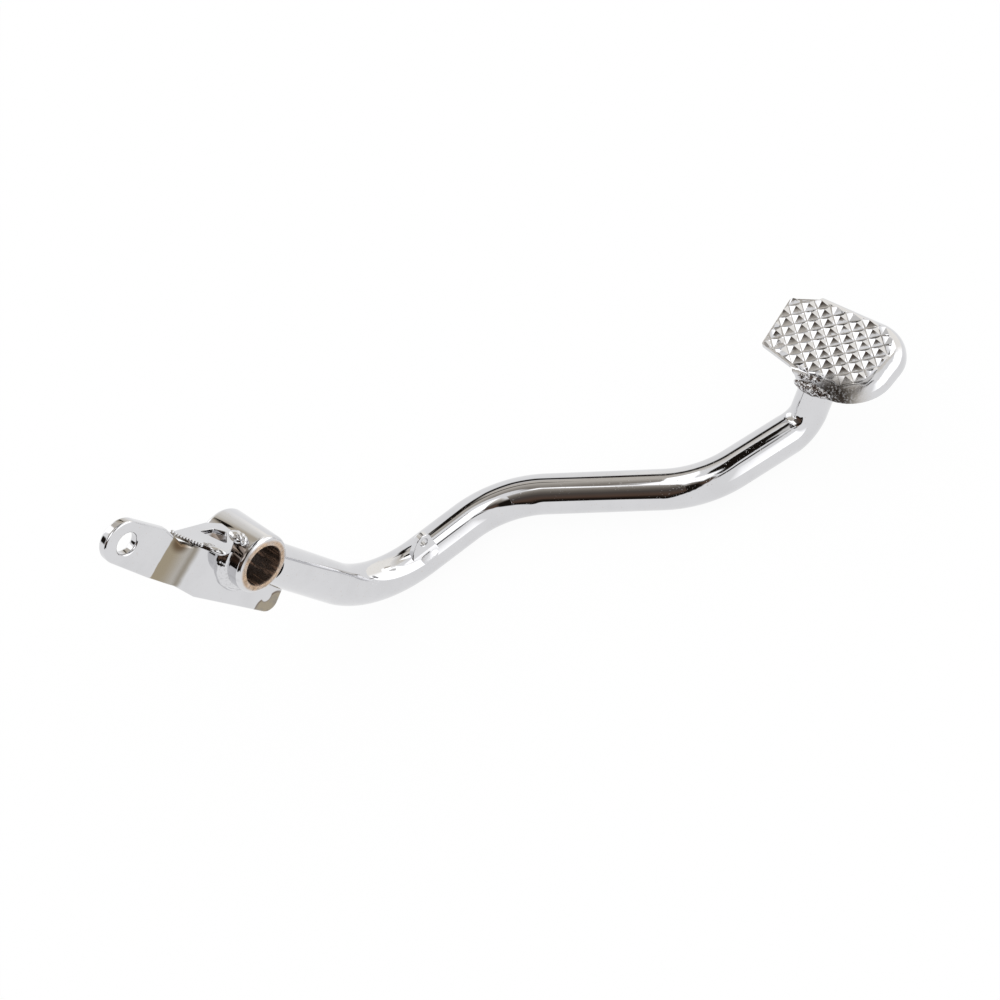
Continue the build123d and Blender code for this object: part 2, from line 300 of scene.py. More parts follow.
def new_material(name):
    """A material, its empty node tree and object coordinates there."""
    material = bpy.data.materials.new(name)
    graph = Graph(material)
    return material, graph, graph.node("ShaderNodeTexCoord", output=3)


# Finishes

# Grey, tan and brown are painted reflection on the plate's joggle. The tan also stains the pad's lip, and the
# tan and brown tint the heel. The dark colour is painted shade under the tab, and it also rings the heel.
JOGGLE_GREY_REFLECTION = (0.42, 0.40, 0.375, 1.0)
TAN_STAIN_AND_REFLECTION = (0.31, 0.26, 0.18, 1.0)
BROWN_PATCH_AND_REFLECTION = (0.25, 0.22, 0.175, 1.0)
DARK_TARNISH_AND_SHADE = (0.10, 0.06, 0.03, 1.0)
TARNISH_SOOT = (0.035, 0.026, 0.02, 1.0)
TOOL_PITCH = 0.45 * MM


def shade(values, share):
    """A colour made darker or lighter, with full alpha."""
    return rgb([value * share for value in values])


def chrome_parts(graph, vector, haze):
    """Tint, roughness and slow waves of bright plate, with faint haze and a few specks."""
    chrome = bpy.context.scene.pedal_finish.chrome
    tan = bpy.context.scene.pedal_finish.tan
    cloud = graph.noise(vector, 90.0, 3.0)
    specks = graph.noise(vector, 1400.0, 2.0).step(0.67, 0.74)
    tint = graph.mix(cloud.step(0.35, 0.75), rgb(chrome), shade(chrome, 0.955))
    tint = graph.mix(specks * 0.4, tint, rgb(tan))
    rough = 0.02 + haze * cloud.step(0.3, 0.8) + specks * 0.12
    wave = graph.bump(graph.noise(vector, 55.0, 1.0), 0.04 * MM)
    return tint, rough, wave


def chrome_finish(name, haze):
    """Bright plate."""
    material, graph, vector = new_material(name)
    graph.surface(*chrome_parts(graph, vector, haze))
    return material


def arm_finish():
    """Bright plate with small dents where the tube was bent and squeezed."""
    material, graph, vector = new_material("arm_plate")
    tint, rough, wave = chrome_parts(graph, vector, 0.03)
    bend = graph.spot(vector, ARM_CORNERS[3] + Vector((-4, 4, 6)), 9.0, 7.0)
    squeeze = graph.spot(vector, ARM_CORNERS[4] + Vector((-6, 2, 6)), 10.0, 6.0)
    dents = graph.noise(vector, 300.0, 1.0) * (bend + squeeze)
    pits = graph.noise(vector, 2100.0, 2.0).step(0.68, 0.75) * graph.noise(vector, 60.0).step(0.45, 0.6)
    dented = graph.bump(dents - pits * 0.8, 0.025 * MM, under=wave)
    graph.surface(tint, rough + pits * 0.3, dented)
    return material


def plate_finish():
    """Bright plate with painted reflection in grey, tan and brown bands on the joggle, a tan-brown patch
    ringed dark on the heel, and painted shade under the tab.
    """
    plate = bpy.context.scene.pedal_plate
    material, graph, vector = new_material("lever_plate_plate")
    axes = graph.outputs("ShaderNodeSeparateXYZ", None, {"Vector": vector})
    tint, rough, wave = chrome_parts(graph, vector, 0.04)
    cloud = graph.noise(vector, 240.0, 3.0)
    along = axes["Z"] * cos(plate.joggle_tilt) - axes["X"] * sin(plate.joggle_tilt)
    along = along + (cloud - 0.5) * 1.4 * MM
    start = plate.joggle_start
    stop = start + plate.joggle_run
    beyond = along.step(stop - 0.1 * MM, stop + 0.5 * MM)
    slope = along.step(start - 2.4 * MM, start + 1.2 * MM) * (1 - beyond)
    crease = along.step(stop - 8.5 * MM, stop - 2.0 * MM) * slope
    fold = (1 - along.step(start + 0.8 * MM, start + 3.0 * MM)) * slope
    # Painted reflection: the joggle's slope, crease and fold take grey, tan and brown bands that stand in for
    # reflected surroundings.
    tint = graph.mix(slope * 0.9, tint, JOGGLE_GREY_REFLECTION)
    tint = graph.mix(crease * 0.9, tint, TAN_STAIN_AND_REFLECTION)
    tint = graph.mix(fold * 0.8, tint, BROWN_PATCH_AND_REFLECTION)
    facet = graph.spot(vector, (0.1, -3, -25.4), 2.3, 0.4)
    rim = graph.spot(vector, (-1.0, -3, -30.0), 7.4, 2.4) * (1 - facet)
    heel = graph.spot(vector, (-3.4, -3, -28.6), 3.6, 0.7)
    heel = heel.larger(graph.spot(vector, (1.9, -3, -31.0), 4.2, 0.8)) * (1 - facet)
    tint = graph.mix(heel * 0.9, tint, graph.mix(cloud.step(0.4, 0.6), BROWN_PATCH_AND_REFLECTION, TAN_STAIN_AND_REFLECTION))
    edge = heel * (1 - heel) * 3.4
    tint = graph.mix(edge * rim, tint, DARK_TARNISH_AND_SHADE)
    # Painted shade on the plate under the tab.
    shade_under_tab = graph.spot(vector, (-19.4, -0.6, 25.4), 2.8, 1.5)
    tint = graph.mix(shade_under_tab * 0.85, tint, DARK_TARNISH_AND_SHADE)
    rough = rough + slope * 0.1 + heel * 0.14
    ripple = graph.bump(cloud * (heel + slope * 0.3), 0.12 * MM, under=wave)
    graph.surface(tint, rough, ripple)
    return material


def sleeve_finish():
    """Chrome outside, turned tan ends and a dark bore streaked with rust."""
    finish = bpy.context.scene.pedal_finish
    sleeve = bpy.context.scene.pedal_sleeve
    material, graph, vector = new_material("sleeve_plate")
    x, y, z = graph.outputs("ShaderNodeSeparateXYZ", None, {"Vector": vector}).values()
    tint, rough, wave = chrome_parts(graph, vector, 0.04)
    radius = (x * x + z * z) ** 0.5
    grain = graph.noise(vector, 900.0, 4.0, 0.6)
    cloud = graph.noise(vector, 260.0, 3.0)
    inside = 1 - radius.step(sleeve.bore + 0.15 * MM, sleeve.bore + 0.5 * MM)
    half = sleeve.length / 2
    face = y.larger(y * -1.0).step(half - 0.3 * MM, half - 0.08 * MM)
    end = face * (1 - radius.step(sleeve.radius - 2.1 * MM, sleeve.radius - 1.3 * MM + cloud * 0.8 * MM))
    drawn = graph.noise(graph.stretched(vector, (1.0, 0.1, 1.0)), 650.0, 3.0, 0.6)
    tan = graph.mix(grain.step(0.3, 0.7), shade(finish.tan, 0.75), shade(finish.tan, 1.3))
    rust = graph.mix(drawn.step(0.48, 0.72), rgb(finish.rust), shade(finish.rust, 7.0))
    streak = graph.noise(graph.stretched(vector, (1.0, 0.03, 1.0)), 500.0, 2.0).step(0.55, 0.75)
    tint = graph.mix(streak * 0.22 * (1 - end), tint, shade(finish.chrome, 0.6))
    tint = graph.mix(end * (0.65 + 0.35 * cloud.step(0.3, 0.6)), tint, tan)
    tint = graph.mix(inside, tint, rust)
    # Painted shade under the tab's root, with some weld dirt, darkens the sleeve there.
    tab_root_shade_and_dirt = graph.spot(vector, (-4.5, 3.6, 10.3), 3.2, 1.2)
    tab_root_shade_and_dirt = tab_root_shade_and_dirt.larger(graph.spot(vector, (-4.5, -7.5, 10.3), 4.2, 1.8))
    tint = graph.mix(tab_root_shade_and_dirt * (0.7 + 0.3 * cloud), tint, DARK_TARNISH_AND_SHADE)
    turned = graph.math("SINE", radius * (2 * pi / TOOL_PITCH))
    rough = rough + end * 0.24 + inside * 0.42
    ridges = graph.bump((turned * 0.3 + grain) * end, 0.14 * MM, under=wave)
    rusty = graph.bump((grain + drawn) * inside, 0.2 * MM, under=ridges)
    graph.surface(tint, rough, rusty, 1.0 - inside * 0.6)
    return material


def pad_finish():
    """Bright plate, hazy between the teeth, with brown specks on the rear lip."""
    finish = bpy.context.scene.pedal_finish
    material, graph, vector = new_material("pad_plate")
    tint, rough, wave = chrome_parts(graph, vector, 0.06)
    grain = graph.noise(vector, 1100.0, 3.0, 0.65)
    burn = graph.spot(vector, (197.0, -104.5, -43.0), 7.4, 3.6)
    stain = graph.spot(vector, (199.0, -109.0, -42.0), 6.4, 5.0)
    rear = burn.larger(stain)
    specks = grain.step(0.52, 0.6) * rear
    tint = graph.mix(stain * 0.6, tint, TAN_STAIN_AND_REFLECTION)
    tint = graph.mix(burn * 0.95, tint, TARNISH_SOOT)
    tint = graph.mix(specks * 0.5, tint, rgb(finish.chrome))
    hammered = graph.bump(graph.noise(vector, 380.0, 2.0), 0.05 * MM, under=wave)
    pitted = graph.bump(grain * rear, 0.12 * MM, under=hammered)
    graph.surface(tint, rough + rear * 0.3 + stain * 0.25, pitted)
    return material


def weld_finish(name, lumps, dirt):
    """Plated weld metal, rippled, with dirt left in its hollows."""
    finish = bpy.context.scene.pedal_finish
    material, graph, vector = new_material(name)
    coarse = graph.noise(vector, 420.0, 3.0, 0.6)
    grain = graph.noise(vector, 1000.0, 3.0, 0.7)
    hollow = (1 - grain.step(0.36 + dirt * 0.11, 0.46 + dirt * 0.1)) * dirt
    tint = graph.mix(hollow, rgb(finish.chrome), rgb(finish.rust))
    rough = 0.04 + grain.step(0.5, 0.8) * 0.1 + hollow * 0.25
    rippled = graph.bump(coarse, lumps)
    fine = graph.bump(grain, lumps * 0.35, under=rippled)
    graph.surface(tint, rough, fine)
    return material


# Shapes

def frame_matrix(origin, x_axis, z_axis):
    """Matrix of a working plane, from its origin and two of its axes."""
    y_axis = z_axis.cross(x_axis)
    matrix = Matrix((x_axis, y_axis, z_axis)).transposed().to_4x4()
    matrix.translation = origin
    return matrix


def heading(yaw):
    """Unit vector forward, turned outboard by yaw in degrees."""
    return Vector((cos(radians(yaw)), -sin(radians(yaw)), 0))


def rounded(corners, steps=10):
    """Closed outline in millimetres: corners of (x, y, radius) joined by arcs, as points in metres."""
    points = []
    for index, (x, y, radius) in enumerate(corners):
        here = Vector((x, y))
        if radius == 0:
            points.append(here * MM)
            continue
        before = (Vector(corners[index - 1][:2]) - here).normalized()
        after = (Vector(corners[(index + 1) % len(corners)][:2]) - here).normalized()
        half = acos(max(-1.0, min(1.0, before.dot(after)))) / 2
        centre = here + (before + after).normalized() * radius / sin(half)
        start = here + before * radius / tan(half) - centre
        turn = pi - 2 * half
        side = 1 if before.x * after.y - before.y * after.x < 0 else -1
        for step in range(steps + 1):
            a = side * turn * step / steps
            swung = Vector((start.x * cos(a) - start.y * sin(a), start.x * sin(a) + start.y * cos(a)))
            points.append((centre + swung) * MM)
    return points


def arc(centre, radius, first, last, count):
    """Sharp corners along an arc between two angles, in millimetres."""
    turns = [first + (last - first) * k / count for k in range(count + 1)]
    return [(centre[0] + radius * cos(a), centre[1] + radius * sin(a), 0) for a in turns]


def round_end(eye, radius, before, after, count):
    """Sharp corners of a round end between two straight edges, which start at two points."""
    start = Vector(before) - eye
    stop = Vector(after) - eye
    first = atan2(start.y, start.x) + acos(radius / start.length)
    last = atan2(stop.y, stop.x) - acos(radius / stop.length) + 2 * pi
    return arc(eye, radius, first, last, count)


def ring(centre, radius, count):
    """Points of a circle, given in millimetres."""
    return rounded(arc(centre, radius, 0, 2 * pi, count)[:-1])


def only(kind, parts):
    """The parts of one kind, such as the vertices or the edges."""
    return [part for part in parts if isinstance(part, kind)]


def slice_through(shape, point, normal, dist=MERGE, clear=False):
    """Cuts a shape along a plane and returns the edges of the cut."""
    made = bmesh.ops.bisect_plane(
        shape, geom=shape.verts[:] + shape.edges[:] + shape.faces[:], plane_co=point, plane_no=normal,
        dist=dist, clear_outer=clear,
    )
    return only(BMEdge, made["geom_cut"])


def flat_piece(outlines, thickness, edge):
    """Flat piece between z = -thickness and 0 with rounded edges, from an outline and its holes."""
    curve = bpy.data.curves.new("outline", "CURVE")
    curve.dimensions = "2D"
    curve.fill_mode = "BOTH"
    curve.extrude = thickness / 2 - edge
    curve.bevel_depth = edge
    curve.bevel_resolution = 4
    curve.offset = -edge
    for points in outlines:
        spline = curve.splines.new("POLY")
        spline.points.add(len(points) - 1)
        for target, point in zip(spline.points, points):
            target.co = (point.x, point.y, 0, 1)
        spline.use_cyclic_u = True
    maker = bpy.data.objects.new("outline", curve)
    bpy.context.scene.collection.objects.link(maker)
    mesh = bpy.data.meshes.new_from_object(maker.evaluated_get(bpy.context.evaluated_depsgraph_get()))
    bpy.data.objects.remove(maker)
    bpy.data.curves.remove(curve)
    shape = bmesh.new()
    shape.from_mesh(mesh)
    bpy.data.meshes.remove(mesh)
    bmesh.ops.remove_doubles(shape, verts=shape.verts, dist=2 * MERGE)
    bmesh.ops.translate(shape, verts=shape.verts, vec=(0, 0, -thickness / 2))
    return shape


def wobble(shape, scale, depth):
    """Moves vertices along their normals by smooth noise."""
    shape.normal_update()
    for vert in shape.verts:
        vert.co += vert.normal * noise.noise(vert.co * scale) * depth


def profile(shape, points, closed):
    """A line of points by radius and y, to spin round the pivot, as its vertices and edges."""
    verts = [shape.verts.new((radius, y, 0)) for radius, y in points]
    start = 0 if closed else 1
    return verts + [shape.edges.new((verts[k - 1], verts[k])) for k in range(start, len(verts))]


def soften(shape, edges, offset, segments, clamp=False):
    """Rounds edges."""
    bmesh.ops.bevel(
        shape, geom=edges, offset=offset, segments=segments, profile=0.5, affect="EDGES", material=-1,
        clamp_overlap=clamp,
    )


def new_object(name, shape, material):
    """Makes an object of a shape and frees the shape."""
    mesh = bpy.data.meshes.new(name)
    shape.to_mesh(mesh)
    shape.free()
    mesh.materials.append(material)
    made = bpy.data.objects.new(name, mesh)
    bpy.context.scene.collection.objects.link(made)
    return made


def add_piece(name, shape, material, node, sharp=42.0):
    """Makes the finished object, which stands for a node of the frame."""
    bmesh.ops.recalc_face_normals(shape, faces=shape.faces)
    piece = new_object(name, shape, material)
    piece.data.shade_smooth()
    piece.data.set_sharp_from_angle(angle=radians(sharp))
    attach(piece, BODY)
    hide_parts(node)
    return piece


def add_sheet(name, shape, place, material, node, sharp=42.0):
    """Sets a piece cut from sheet in its place, with flat faces kept flat beside rounded edges."""
    bmesh.ops.transform(shape, matrix=place, verts=shape.verts)
    piece = add_piece(name, shape, material, node, sharp)
    piece.modifiers.new("even_normals", "WEIGHTED_NORMAL").keep_sharp = True


# Places in millimetres and turns in degrees, with the pivot at the origin

PART_MIDDLE = (90, -40, -40)
SEAT_RADIUS = 10.4
SEAT_END = 108
HEEL_REACH = 27.3
PLATE_EYE = Vector((-35.9, 43.1))
PIN_HOLE = (-35.2, 41.8)
TAB_BACK = 17.7
TAB_HIGH = 26.0
ARM_Y = -3.8
ARM_LEVEL = -68.4
ARM_START = 20
ARM_CORNERS = [Vector((0, ARM_Y, 0)), Vector((38.7, ARM_Y, ARM_LEVEL))]
SECOND_YAW = 8.7
SLANT_YAW = 53.2
LAST_YAW = 15.5
for run, yaw in ((65.3, SECOND_YAW), (78.3, SLANT_YAW), (48.5, LAST_YAW)):
    ARM_CORNERS.append(ARM_CORNERS[-1] + heading(yaw) * run)
ARM_COPE = 0.4
ARM_END = 0.8
LUG_ALONG = 26.3
LUG_OUT = 2.8
PAD_RISE = 30.8
PAD_TOP = ARM_LEVEL + PAD_RISE
PAD_CENTRE = Vector((ARM_CORNERS[4].x + 16.1, ARM_CORNERS[4].y - 3.4, PAD_TOP))


def pad_matrix():
    """The pad's own frame: x forward, y inboard, z up from the sheet's top."""
    yaw = bpy.context.scene.pedal_pad.yaw
    return frame_matrix(PAD_CENTRE * MM, Vector((cos(yaw), sin(yaw), 0)), UP)


class PEDAL_OT_sleeve(bpy.types.Operator):
    """Spin the pivot sleeve from its profile."""
    bl_idname = "pedal.sleeve"
    bl_label = "Pivot sleeve"

    def execute(self, context):
        size = context.scene.pedal_sleeve
        half = size.length / 2
        cut = size.chamfer
        shape = bmesh.new()
        wall = profile(shape, [
            (size.bore, -half + cut), (size.bore + cut, -half), (size.radius, -half),
            (size.radius, half), (size.bore + cut, half), (size.bore, half - cut),
        ], closed=True)
        bmesh.ops.spin(
            shape, geom=wall, cent=(0, 0, 0), axis=INBOARD, angle=2 * pi, steps=160, use_merge=True
        )
        bmesh.ops.remove_doubles(shape, verts=shape.verts, dist=MERGE)
        rims = [
            edge for edge in shape.edges
            if all(hypot(v.co.x, v.co.z) > size.radius - 10 * MERGE for v in edge.verts)
            and abs(edge.verts[0].co.y - edge.verts[1].co.y) < 10 * MERGE
        ]
        soften(shape, rims, size.rim, 7)
        add_piece("pivot_sleeve_turned", shape, sleeve_finish(), "pivot_sleeve")
        return {"FINISHED"}


def plate_outline(size):
    """Outline of the lever plate, seen along the pivot, with the sleeve's seat cut out."""
    down = atan2(ARM_CORNERS[1].z, ARM_CORNERS[1].x)
    nape = (-20.6, 33.6)
    throat = (-34.4, 21.6)
    corners = [(HEEL_REACH * cos(down), HEEL_REACH * sin(down), 0)]
    corners += arc((0, 0), SEAT_RADIUS, down + 2 * pi, radians(SEAT_END), 24)
    corners += [(-18.8, 24.7, 0), (-19.2, 27.6, 0.6), (*nape, 3.0)]
    corners += round_end(PLATE_EYE, size.eye_radius / MM, nape, throat, 24)
    corners += [(*throat, 4.0), (-29.0, 13.7, 4.0), (-24.5, 2.0, 4.0), (-0.7, -35.8, 4.5)]
    return rounded(corners)


def joggle(distance, size):
    """Inboard shift at a distance from the pivot: a soft bend first and a crisp one by the eye."""
    t = min(max((distance - size.joggle_start) / size.joggle_run, 0.0), 1.0)
    soft = t * t * (3 - 2 * t)
    crisp = min(t ** 1.5 * 1.06, 1.0)
    return (0.4 * soft + 0.6 * crisp) * size.joggle_step


class PEDAL_OT_plate(bpy.types.Operator):
    """Cut the lever plate to its outline and press its joggle."""
    bl_idname = "pedal.plate"
    bl_label = "Lever plate"

    def execute(self, context):
        size = context.scene.pedal_plate
        outlines = [plate_outline(size), ring(PIN_HOLE, size.pin_radius / MM, 64)]
        shape = flat_piece(outlines, size.thickness, size.edge)
        along = Vector((-sin(size.joggle_tilt), cos(size.joggle_tilt), 0))
        cuts = 40
        for k in range(cuts):
            t = -0.15 + 1.3 * k / (cuts - 1)
            slice_through(shape, along * (size.joggle_start + t * size.joggle_run), along)
        for vert in shape.verts:
            vert.co.z -= joggle(vert.co.dot(along), size)
        place = frame_matrix(Vector((0, size.face, 0)), Vector((1, 0, 0)), Vector((0, -1, 0)))
        add_sheet("lever_plate_pressed", shape, place, plate_finish(), "lever_plate")
        return {"FINISHED"}


class PEDAL_OT_tab(bpy.types.Operator):
    """Cut the spring tab, its window and its beaded edge."""
    bl_idname = "pedal.tab"
    bl_label = "Spring tab"

    def execute(self, context):
        size = context.scene.pedal_tab
        top = context.scene.pedal_sleeve.radius / MM
        reach = hypot(TAB_BACK, TAB_HIGH - top)
        slope = Vector((TAB_BACK / reach, 0, (top - TAB_HIGH) / reach))
        rise = Vector((-slope.z, 0, slope.x))
        nose = Vector((7.7, -11.7))
        tip = Vector((0, 5.6))
        end = reach + 0.6
        corners = [(nose.x, nose.y, 1.6), (tip.x, tip.y, 0), (17.7, 8.0, 2.0), (end, 5.6, 0)]
        corners += [(end, -2.0, 0), (12.9, -10.9, 1.6)]
        window = [(10.6, 3.2, 0.8), (17.0, 3.2, 0.8), (20.4, -0.2, 0.8), (14.0, -7.2, 0.8)]
        shape = flat_piece([rounded(corners, 5), rounded(window, 5)], size.thickness, size.edge)
        self.beads(shape, size, tip, nose)
        place = frame_matrix(Vector((-TAB_BACK, 0, TAB_HIGH)) * MM, slope, rise)
        finish = chrome_finish("tab_plate", haze=0.05)
        add_sheet("spring_tab_cut", shape, place, finish, "spring_tab")
        return {"FINISHED"}

    def beads(self, shape, size, tip, nose):
        """A row of beads along the sheared edge, three drawn-out ridges and a lump at the nose."""
        chance = Random(3)
        edge = nose - tip
        inward = Vector((edge.y, -edge.x)).normalized() * -1
        count = 11
        turn = Matrix.Rotation(atan2(edge.y, edge.x), 4, "Z")
        lumps = [(0.03 + 0.058 * k, 0.1, 0.4, 0.5, 0.85, 0.62) for k in range(count)]
        lumps[0] = (0.01, 0.2, 0.3, 0.9, 1.0, 0.9)
        lumps += [(0.72, 0.5, 0.05, 2.3, 0.3, 0.34), (0.70, 1.35, 0.05, 2.0, 0.3, 0.34)]
        lumps += [(0.74, 2.2, 0.05, 1.7, 0.3, 0.34), (0.91, 0.8, 0.5, 3.1, 1.4, 1.05)]
        for share, inside, depth, long, wide, high in lumps:
            at = tip + edge * share + inward * inside
            scale = size.bead * chance.uniform(0.88, 1.12)
            place = Matrix.Translation((at.x * MM, at.y * MM, -depth * MM))
            form = Matrix.Diagonal((long * scale, wide * scale, high * scale, 1))
            bmesh.ops.create_icosphere(shape, subdivisions=4, radius=1.0, matrix=place @ turn @ form)


def push_loop(shape, loop, offset):
    """Extrudes an open end of a tube by a straight run and returns the new end."""
    made = bmesh.ops.extrude_edge_only(shape, edges=only(BMEdge, loop))["geom"]
    bmesh.ops.translate(shape, verts=only(BMVert, made), vec=offset)
    return only((BMVert, BMEdge), made)


def bend_loop(shape, loop, corner, before, after, radius):
    """Spins an open end of a tube round a bend between two directions."""
    steps = 36
    turn = before.angle(after)
    axis = before.cross(after).normalized()
    setback = radius * tan(turn / 2)
    centre = corner - before * setback + axis.cross(before) * radius
    made = bmesh.ops.spin(shape, geom=loop, cent=centre, axis=axis, angle=turn, steps=steps, use_merge=False)
    return made["geom_last"]


class PEDAL_OT_arm(bpy.types.Operator):
    """Extrude and bend the arm, cope it to the sleeve and squeeze its end."""
    bl_idname = "pedal.arm"
    bl_label = "Bent arm"

    def execute(self, context):
        size = context.scene.pedal_arm
        corners = [corner * MM for corner in ARM_CORNERS]
        flat = heading(LAST_YAW)
        rise = Vector((cos(size.rise) * flat.x, cos(size.rise) * flat.y, sin(size.rise)))
        headings = [(b - a).normalized() for a, b in zip(corners, corners[1:])] + [rise]
        here = corners[0] + headings[0] * ARM_START * MM
        side = headings[0].cross(INBOARD).normalized()
        start = frame_matrix(here, side, headings[0])
        shape = bmesh.new()
        bmesh.ops.create_circle(shape, radius=size.radius, segments=size.sides, matrix=start)
        first = shape.verts[:]
        loop = first + shape.edges[:]
        for index in (1, 2, 3):
            before = headings[index - 1]
            after = headings[index]
            setback = size.bend * tan(before.angle(after) / 2)
            loop = push_loop(shape, loop, corners[index] - before * setback - here)
            loop = bend_loop(shape, loop, corners[index], before, after, size.bend)
            here = corners[index] + after * setback
        setback = size.last_bend * tan(headings[3].angle(rise) / 2)
        loop = push_loop(shape, loop, corners[4] - headings[3] * setback - here)
        self.squeeze(shape, loop, size, corners[4] - headings[3] * setback, headings[3], rise)
        self.cope(first, headings[0], context.scene.pedal_sleeve.radius - ARM_COPE * MM)
        add_piece("arm_tube_bent", shape, arm_finish(), "arm_tube", sharp=60)
        return {"FINISHED"}

    def squeeze(self, shape, loop, size, start, level, rise):
        """Bends the end up while it narrows, and trims it inside the pad's sheet."""
        steps = 22
        swell = 1.05
        pad_side = 150 * MM
        turn = level.angle(rise)
        wide = size.squeeze ** (1 / steps)
        deep = swell ** (1 / steps)
        across = UP.cross(level).normalized()
        axis = level.cross(rise).normalized()
        pivot = start + axis.cross(level) * size.last_bend
        for step in range(steps):
            loop = bmesh.ops.spin(
                shape, geom=loop, cent=pivot, axis=axis, angle=turn / steps, steps=1, use_merge=False
            )["geom_last"]
            verts = only(BMVert, loop)
            middle = sum((vert.co for vert in verts), Vector()) / len(verts)
            along = level.copy()
            along.rotate(Matrix.Rotation(turn * (step + 1) / steps, 3, axis))
            section = frame_matrix(middle, across, along)
            bmesh.ops.scale(shape, vec=(wide, deep, 1), space=section.inverted(), verts=verts)
        for run in (6, 30):
            loop = push_loop(shape, loop, rise * run * MM)
        end = (PAD_TOP - ARM_END) * MM
        slice_through(shape, UP * end, UP, 0.1 * MERGE)
        high = [v for v in shape.verts if v.co.z > end + 0.1 * MM and v.co.x > pad_side]
        bmesh.ops.delete(shape, geom=high, context="VERTS")

    def cope(self, verts, along, radius):
        """Runs an end's vertices along the tube until they lie on the sleeve."""
        for vert in verts:
            a = along.x ** 2 + along.z ** 2
            b = vert.co.x * along.x + vert.co.z * along.z
            c = vert.co.x ** 2 + vert.co.z ** 2 - radius ** 2
            vert.co += along * ((-b + sqrt(max(b * b - a * c, 0))) / a)


class PEDAL_OT_lug(bpy.types.Operator):
    """Cut the eyed lug on the arm."""
    bl_idname = "pedal.lug"
    bl_label = "Switch lug"

    def execute(self, context):
        size = context.scene.pedal_arm
        direction = heading(SECOND_YAW)
        outward = direction.cross(UP)
        origin = ARM_CORNERS[1] + direction * LUG_ALONG + outward * LUG_OUT
        eye = Vector((0, 11.2))
        eye_radius = 3.5
        hole_radius = 1.7
        edge = 0.5 * MM
        rear = -8.6
        front = 4.6
        foot = 5.0
        corners = [(rear, foot, 0), (front, foot, 0)]
        corners += round_end(eye, eye_radius, (front, 0), (rear, 0), 16)
        shape = flat_piece([rounded(corners), ring(eye, hole_radius, 32)], size.lug_thickness, edge)
        bmesh.ops.translate(shape, verts=shape.verts, vec=(0, 0, size.lug_thickness / 2))
        self.flare(shape, size.lug_thickness)
        place = frame_matrix(origin * MM, direction, outward)
        finish = chrome_finish("lug_plate", haze=0.06)
        add_sheet("switch_lug_cut", shape, place, finish, "switch_lug")
        return {"FINISHED"}

    def flare(self, shape, thickness):
        """Spreads the foot of the outer face over the tube."""
        top = 9.6 * MM
        drop = 4.6 * MM
        spread = 2.2 * MM
        cuts = 12
        for k in range(cuts):
            slice_through(shape, INBOARD * (top - drop * k / cuts), INBOARD)
        for vert in shape.verts:
            share = max(top - vert.co.y, 0) / drop
            vert.co.z += spread * share * share * (0.5 + vert.co.z / thickness)


